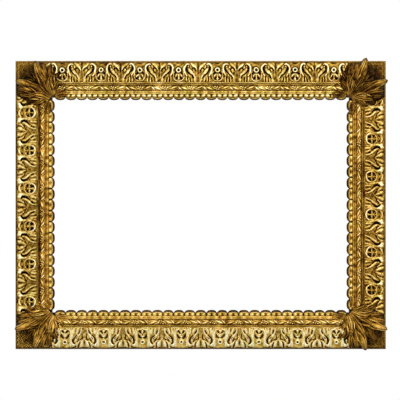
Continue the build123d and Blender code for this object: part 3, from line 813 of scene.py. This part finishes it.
def tongue_grid():
    """Places over one tongue: half widths in shares, and millimetres from its root."""
    depth = tongue_length * np.sin(np.linspace(0, math.pi / 2, 26)) ** 0.9
    depth = np.minimum(depth, tongue_length - 0.07)
    share = np.sin(np.linspace(-math.pi / 2, math.pi / 2, 29))
    return np.meshgrid(share, depth)


def tongue_shape(share, depth, side, random):
    """Height above its root's level and lightness of one tongue, with a hand's unevenness."""
    eye_place, eye_length, eye_light, hollow_painted_shade, rim_start, _ = tongue_cuts[side]
    eyes = np.zeros(share.shape)
    for hand, strength in ((-1, 1.0), (1, random.uniform(0.8, 1.0))):
        off = (share - hand * eye_place) / 0.33
        eyes = np.maximum(eyes, strength * np.exp(-off ** 2 - ((depth - 4.6) / eye_length) ** 2))
    hollow = np.exp(-(share / (0.05 + 0.022 * np.maximum(8.5 - depth, 0))) ** 2) * (depth < 10)
    arms = np.exp(-((depth - rim_start + 3.4 + 3.0 * share ** 2) / 1.0) ** 2)
    tip = np.exp(-(share / 0.34) ** 2 - ((depth - rim_start + 0.4) / 1.1) ** 2)
    rim = smooth_step(rim_start - 0.6, rim_start + 1.4, depth + 3.4 * share ** 4)
    rim = np.clip(rim + smooth_step(0.86, 1, np.abs(share)) * 0.6, 0, 1)
    height = 1.7 * eyes - 1.6 * hollow - 0.9 * arms + 0.6 * tip - 2.0 * rim ** 2
    # Painted highlights on the eyes and tip, painted shade in the hollow, along the arms and on the rim
    light = 0.53 + eye_light * eyes - hollow_painted_shade * hollow - 0.26 * arms + 0.34 * tip - 0.38 * rim
    return height, light


# Each side's tongues: place, length and painted highlight of the eyes, depth of the hollow's painted
# shade, start of the rim and painted lightness of the notches between tongues
tongue_cuts = {
    "top": (0.5, 3.4, 0.5, 0.55, 12.0, 0.26),
    "bottom": (0.55, 4.0, 0.30, 0.34, 9.6, 0.14),
    "left": (0.66, 3.0, 0.42, 0.20, 9.8, 0.03),
    "right": (0.66, 3.0, 0.42, 0.20, 9.8, 0.03),
}
ledge_strips = [
    ([sight_start, sight_start + 2, sight_start + 4, rebate_start - 0.05], board_top),
    ([rebate_start - 0.05, ledge_end], lip_back),
]
for number, side in enumerate(sides):
    random = np.random.default_rng(100 + number)
    pitch = (sides[side][0] - 2 * moulding_width) / tongue_counts[side]
    piece = CarvedPiece(f"scalloped_sight_{side}")
    for rows, low in ledge_strips:
        along, across = strip_places(side, np.array(rows))
        height = ledge_top - 3.5 * (across - sight_start) / (ledge_end - sight_start)
        # Painted shade on the ledge in the notches between tongues, set for each side
        light = np.full(along.shape, tongue_cuts[side][5])
        piece.add_strip(strip_points(side, along, across, height), light, low)
    share, depth = tongue_grid()
    reach = np.clip((depth - 7.4) / 7.6, 0, 1)
    for place in range(tongue_counts[side]):
        middle = (2 * place + 1 - tongue_counts[side]) * pitch / 2 + random.uniform(-0.4, 0.4)
        half = (pitch - tongue_gap) / 2 * random.uniform(0.96, 1.02) * (1 - reach ** 2.3) ** (1 / 2.3)
        lift, light = tongue_shape(share, depth, side, random)
        top = tongue_root - tongue_fall * smooth_step(4.5, 15.5, depth) ** 1.2 + lift
        top = np.maximum(top, lip_back + 1.5)
        light = np.clip(light * random.uniform(0.9, 1.08), 0, 1)
        front = strip_points(side, middle + share * half, sight_start + depth, top)
        under = front * (1, 0, 1) - (0, lip_back, 0)
        piece.add_shell(front, light, under)
    piece.made(f"sight_{side}", reddish_gilding if side in ("left", "right") else gilding)

# The corner leaves: one acanthus leaf over each mitre, carved in separate blocks with fanned
# fingers and side curls, pinned over the mouldings and gilded; their gilding is darker than the
# mouldings', with painted highlights on the ribs and tips and painted shade at the fingers' edges.

leaf_root = 10.0
root_height = board_top + 23.0
leaf_crest = 38.0
leaf_top = 59.7
finger_grid = (33, 58)
sight_half = np.array([outer_width / 2 - moulding_width, outer_height / 2 - moulding_width])
leaf_limits = (
    np.array([cad_low.x, cad_low.z]) / mm + 0.1,
    np.array([cad_high.x, cad_high.z]) / mm - 0.1,
)

# Each lobe: angle from the mitre, reach, width, crest, where its tip starts to narrow, leaflets,
# ribs, lightness, how much painted highlight the ribs carry and how much the tip carries
leaf_lobes = [
    (0, 114, 30, 0.66, 0.55, 4, 1.5, 0.10, 0.12, 0.06),
    (62, 80, 34, 0.70, 0.50, 0, 2.0, 0.13, 0.14, 0.02),
    (41, 97, 38, 0.74, 0.62, 3, 2.0, 0.13, 0.14, 0.08),
    (84, 58, 26, 0.64, 0.55, 0, 1.5, 0.20, 0.18, 0.08),
    (126, 46, 20, 0.56, 0.60, 0, 1.5, 0.26, 0.16, 0.14),
    (104, 48, 18, 0.60, 0.60, 0, 1.5, 0.26, 0.18, 0.10),
    (9, 93, 27, 0.80, 0.60, 2, 1.5, 0.15, 0.13, 0.12),
    (31, 103, 26, 0.88, 0.60, 2, 1.5, 0.17, 0.16, 0.14),
    (20, 118, 30, 1.00, 0.58, 3, 1.5, 0.20, 0.18, 0.26),
    (68, 52, 20, 0.84, 0.50, 0, 2.0, 0.25, 0.20, 0.06),
    (46, 68, 30, 0.93, 0.50, 0, 2.0, 0.25, 0.28, 0.02),
    (16, 86, 38, 0.99, 0.50, 2, 2.5, 0.17, 0.18, 0.04),
    (34, 58, 20, 0.97, 0.45, 0, 1.5, 0.33, 0.30, 0.02),
]


def moulding_height(inward):
    """How high the mouldings' surface lies above the back, by how far it is from the outer edge."""
    places = [0, 4.5, 4.6, 55, 55.1, 58.5, 58.6, 69.5, 85, 100, 100.1]
    heights = [31, 31, 34, 42, 46, 46, 41, 46, 40, 33, 27]
    return np.interp(inward, places, heights)


def lobe_grid(angle, reach, width, crest, narrow, teeth, ribs, light, gleam, tip_light, random):
    """Places, heights and lightness over one finger, in the leaf's own axes."""
    steps_across = np.linspace(-1, 1, finger_grid[0])
    steps_along = np.linspace(0, 1, finger_grid[1])
    share, along = np.meshgrid(steps_across, steps_along, indexing="ij")
    turn = math.radians(angle)
    tip = np.array([reach * math.cos(turn), reach * math.sin(turn)])
    root = np.array([np.interp(abs(angle), [60, 105], [leaf_root, 4]), 13 * math.sin(turn)])
    start = turn * np.interp(abs(angle), [60, 105], [0.4, 0.85])
    middle = root + 0.4 * reach * np.array([math.cos(start), math.sin(start)])
    line = ((1 - along) ** 2)[..., None] * root + (2 * along * (1 - along))[..., None] * middle
    line += (along ** 2)[..., None] * tip
    tangent = 2 * (1 - along)[..., None] * (middle - root) + 2 * along[..., None] * (tip - middle)
    tangent /= np.linalg.norm(tangent, axis=-1, keepdims=True)
    normal = np.stack([-tangent[..., 1], tangent[..., 0]], -1)
    half = width / 2 * (0.42 + 0.58 * smooth_step(0, 0.55, along))
    half *= np.sqrt(np.clip(1 - ((along - narrow) / (1 - narrow)).clip(0, 1) ** 2, 0.01, 1))
    stretch = along ** 0.85 * (teeth + 0.45) + random.uniform(-0.1, 0.1)
    notch = np.abs(np.sin(math.pi * stretch)) ** 0.7 if teeth else 1.0
    half *= 0.8 + 0.2 * notch
    places = line + normal * (share * half)[..., None]
    ridge = root_height + (board_top + leaf_crest * crest - root_height) * np.minimum(along / 0.8, 1) ** 0.8
    ridge -= 8 * smooth_step(0.78, 1, along)
    phase = random.uniform(0, 6)
    waver = share + 0.12 * np.sin(4 * share + phase) + 0.06 * np.sin(along * 8 + phase)
    flutes = np.cos(waver * math.pi * ribs * 2)
    leaflets = np.abs(np.sin(math.pi * (stretch + 0.9 - 0.9 * np.abs(share)))) ** 0.5 - 0.62
    leaflets = leaflets * smooth_step(0.05, 0.4, np.abs(share)) * smooth_step(0.3, 0.6, along) * bool(teeth)
    height = ridge - 0.5 * width / 2 * np.abs(share) ** 1.7 * (0.4 + 0.6 * along)
    height = height + flutes * 0.9 + 1.2 * leaflets
    streaks = np.cos(waver * math.pi * ribs * 3.3 + phase) * 0.5
    gleam *= 0.75 + 0.35 * np.sin(along * 11 + share * 3 + 2 * phase)
    # Painted highlights on the ribs, leaflets, tip and root, and painted shade at the edges and end
    shade = light + 1.25 * gleam * (flutes + streaks) + 0.3 * leaflets
    shade += tip_light * smooth_step(0.55, 0.85, along) * (1 - np.abs(share) ** 2)
    shade += 0.10 * smooth_step(0.3, 0.05, along)
    shade = shade - 0.34 * np.abs(share) ** 4 - 0.3 * smooth_step(0.93, 1, along)
    return places, np.minimum(height, leaf_top), shade


def corner_leaf(across, up, seed):
    """One leaf as closed fingers that rise from the root and lie over the mouldings."""
    random = np.random.default_rng(200 + seed)
    name = f"leaf_{'top' if up > 0 else 'bottom'}_{'right' if across > 0 else 'left'}"
    piece = CarvedPiece(f"acanthus_{name}")
    outwards = np.array([across, up]) / math.sqrt(2)
    aside = np.array([-up, across]) / math.sqrt(2)
    corner = np.array([across, up]) * sight_half
    for angle, reach, width, crest, narrow, teeth, ribs, light, gleam, tip_light in leaf_lobes:
        for hand in ((1, -1) if angle else (1,)):
            wander = random.uniform(-2, 2)
            grown = random.uniform(0.96, 1.0) * (leaf_growth[seed] if crest == 1.0 else 1.0)
            places, height, shade = lobe_grid(
                hand * angle * leaf_fan[seed] + wander, reach * grown, width, crest, narrow, teeth, ribs,
                light + leaf_painted_light[seed] + random.uniform(-0.03, 0.03), gleam, tip_light, random,
            )
            flat = corner + places[..., :1] * outwards + places[..., 1:] * aside
            flat = np.clip(flat, *leaf_limits)
            inward = (np.array([outer_width, outer_height]) / 2 - np.abs(flat)).min(-1)
            low = np.where(inward > 0, np.minimum(moulding_height(inward) - 0.5, height - 1), height - 6)
            low = np.minimum(low, height - 0.8)
            front = np.stack([flat[..., 0], -height, flat[..., 1]], -1)
            under = np.stack([flat[..., 0], -low, flat[..., 1]], -1)
            piece.add_shell(front, np.clip(shade, 0, 1), under)
    piece.made(name, red_gilding)


# How much lighter each leaf is painted as the light falls on its corner, how far its two long
# fingers reach and how wide it fans
leaf_painted_light = (0.0, -0.03, 0.09, 0.12)
leaf_growth = (0.94, 1.0, 0.97, 0.94)
leaf_fan = (0.92, 0.97, 0.95, 0.88)
for seed, (across, up) in enumerate([(-1, 1), (1, 1), (1, -1), (-1, -1)]):
    corner_leaf(across, up, seed)

# The straps of the two hangers: steel strip, plated with zinc that has gone dull, folded over the
# ring's bar into a curl and screwed to the stiles a little above their middles.


def metal_group():
    """Plated metal, dulled in patches and scratched by handling."""
    group, given = new_group("handled_metal", Bright="Color", Dull="Color", Place="Vector")
    place = given["Place"]
    patches = ramp_of(group, noise_of(group, place, 90.0, 6.0), [(0.38, (0, 0, 0)), (0.64, (1, 1, 1))])
    drawn_out = add_node(group, "ShaderNodeMapping", {"Vector": place, "Scale": (1.0, 1.0, 0.08)})
    scratches = noise_of(group, drawn_out.outputs["Vector"], 1900.0, 2.0)
    colour = mix_of(group, patches, given["Bright"], given["Dull"])
    return put_out(group, colour, sum_of(group, "MULTIPLY_ADD", patches, 0.22, 0.3), scratches)


handled_metal = metal_group()


def metal_material(name, bright, dull):
    """One plated metal with its own two colours."""
    def inputs(tree, place):
        return {"Bright": (*bright, 1), "Dull": (*dull, 1), "Place": place}
    return new_material(name, handled_metal, inputs, 0.00008, Metallic=1.0)


zinc = metal_material("dull_zinc", (0.52, 0.53, 0.54), (0.26, 0.255, 0.25))
soft_edge = 0.0003
finished("hanger_straps", zinc, "soft_edge", soft_edge)

# The hanger rings: round steel wire, bent round four corners and plated with the straps. Each
# hangs by its bar in the curl of its strap and swings there.

wire_radius = 1.6
corner_bend = 5.0
ring_corners = np.array([(-16.0, 0.0), (16.0, 0.0), (11.0, -24.0), (-11.0, -24.0)])

for hand in ("left", "right"):
    name = f"hanger_ring_{hand}"
    low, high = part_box(name)
    middle = np.array([(low.x + high.x) / 2, (low.y + high.y) / 2, high.z]) / mm - (0, 0, wire_radius)
    path = []
    for number, corner in enumerate(ring_corners):
        ends = []
        for other in (ring_corners[number - 1], ring_corners[(number + 1) % 4]):
            ends.append(corner + (other - corner) / np.linalg.norm(other - corner) * corner_bend)
        for t in np.linspace(0, 1, 9):
            path.append((1 - t) ** 2 * ends[0] + 2 * t * (1 - t) * corner + t ** 2 * ends[1])
    path = np.array(path)
    run = np.roll(path, -1, 0) - np.roll(path, 1, 0)
    run /= np.linalg.norm(run, axis=1, keepdims=True)
    turns = np.linspace(0, 2 * math.pi, 16, endpoint=False)
    side = wire_radius * np.cos(turns)[None, :, None] * np.stack([-run[:, 1], run[:, 0]], -1)[:, None, :]
    flat = path[:, None, :] + side
    depth = np.broadcast_to(wire_radius * np.sin(turns), flat.shape[:2])
    points = middle + np.stack([flat[..., 0], depth, flat[..., 1]], -1)
    piece = CarvedPiece(f"wire_ring_{hand}")
    index = piece.add_grid(points, 0.5)
    piece.smooth_faces.append(grid_faces(np.pad(index, ((0, 1), (0, 1)), "wrap")[::-1]))
    piece.made(name, zinc, name)

# The turn buttons: six cast brass tabs, gone brown in patches. Each turns on its screw, away for
# the picture to go in, and a quarter turn round to hold it in the rebate.

brass = metal_material("aged_brass", (0.60, 0.41, 0.15), (0.24, 0.15, 0.06))
for number in range(1, 7):
    finished(f"turn_button_{number}", brass, "soft_edge", soft_edge)

# The screws: slotted round heads on plain shanks, of zinc-plated steel through the straps and of
# brass through the buttons, driven into the boards and left with their slots at any angle.

shank_depth = 16.0
shank_radius = 1.84
head_radius = 3.8
head_height = 2.2
slot_half = 0.5


def add_disc(piece, x, z, low, height, radius, turn, slot):
    """A round head or shank off the back face: its base, domed height and radius, and a driver slot."""
    spread = np.sin(np.linspace(-math.pi / 2, math.pi / 2, 19))
    slot_edges = [way * slot_half + step for way in (-1, 1) for step in (-0.03, 0.03)] if slot else []
    across = np.array(sorted([*(spread * radius * 0.995), *slot_edges]))
    u, share = np.meshgrid(across, spread, indexing="ij")
    v = share * np.sqrt(radius ** 2 - u ** 2)
    top = height * (0.4 + 0.6 * np.sqrt(np.clip(1 - (u ** 2 + v ** 2) / radius ** 2, 0, 1)))
    top = np.where((np.abs(u) < slot_half) & slot, 0.38 * height, top)
    turned = [x + u * math.cos(turn) - v * math.sin(turn), z + u * math.sin(turn) + v * math.cos(turn)]
    front = np.stack([turned[0], low + top, turned[1]], -1)
    under = np.stack([turned[0], np.full(u.shape, float(low)), turned[1]], -1)
    piece.add_shell(front, np.full(u.shape, 0.5), under)


def screws(name, kind, places, standing, metal):
    """The screws of one kind, as shanks that run into heads standing off the boards."""
    random = np.random.default_rng(len(places))
    piece = CarvedPiece(f"slotted_{kind}_screws")
    for x, z in places:
        add_disc(piece, x, z, -shank_depth, shank_depth + 0.5 + standing, shank_radius, 0.0, False)
        add_disc(piece, x, z, standing, head_height, head_radius, random.uniform(0, math.pi), True)
    piece.made(name, metal)


bar_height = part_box("hanger_ring_left")[1].z / mm - wire_radius
strap_places = [(x, bar_height - below) for x in (-424.5, 424.5) for below in (11.0, 35.0)]
screws("hanger_screws", "strap", strap_places, 1.2, zinc)
pivot_places = [
    (-209.16, 290.5), (209.16, 290.5), (395.5, 0.0), (209.16, -290.5), (-209.16, -290.5), (-395.5, 0.0),
]
screws("button_screws", "button", pivot_places, 2.1, brass)

# The room: a plain painted floor well below the frame, which hangs free of any wall, even light
# from all round with two soft lamps in front, and a camera square to the frame.

floor_level = -0.62
floor_corners = [(x, y, floor_level) for x, y in ((-2, -2.4), (2, -2.4), (2, 0.85), (-2, 0.85))]
floor_mesh = bpy.data.meshes.new("pale_floor")
floor_mesh.from_pydata(floor_corners, [], [(0, 1, 2, 3)])
floor = in_scene("pale_floor", floor_mesh)
floor_paint = bpy.data.materials.new("pale_floor_paint")
floor_paint.use_nodes = True
floor_shader = floor_paint.node_tree.nodes["Principled BSDF"]
floor_shader.inputs["Base Color"].default_value = (0.9, 0.9, 0.9, 1)
floor_shader.inputs["Roughness"].default_value = 0.8
floor_mesh.materials.append(floor_paint)
floor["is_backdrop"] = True

world = bpy.data.worlds.new("soft_room")
bpy.context.scene.world = world
world.use_nodes = True
room = world.node_tree
ray = add_node(room, "ShaderNodeLightPath")
seen = sum_of(room, "MAXIMUM", ray.outputs["Is Camera Ray"], ray.outputs["Is Glossy Ray"])
seen = sum_of(room, "MAXIMUM", seen, ray.outputs["Is Transmission Ray"])
strength = sum_of(room, "MULTIPLY_ADD", seen, 0.5, 0.5)
room.nodes["Background"].inputs["Color"].default_value = (1, 1, 1, 1)
room.links.new(strength, room.nodes["Background"].inputs["Strength"])


def soft_lamp(name, place, size, power):
    """A square lamp turned to the middle of the frame."""
    lamp = bpy.data.lights.new(name, "AREA")
    lamp.size = size
    lamp.energy = power
    holder = in_scene(name, lamp)
    holder.location = place
    holder.rotation_euler = Vector(place).to_track_quat("Z", "Y").to_euler()


soft_lamp("key", (-0.5, -2.8, -1.1), 1.2, 52)
soft_lamp("fill", (0.9, -3.0, 1.2), 1.6, 26)

view_width = 1.0226
distance = 4.0
frieze_level = 0.034
camera = bpy.data.cameras.new("camera")
camera.sensor_width = 36
camera.lens = camera.sensor_width * (distance - frieze_level) / view_width
holder = in_scene("camera", camera)
holder.location = (-0.0017, -distance, 0.0129)
holder.rotation_euler = (math.pi / 2, 0, 0)
bpy.context.scene.camera = holder
bpy.context.scene.view_settings.view_transform = "Standard"

low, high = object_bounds()
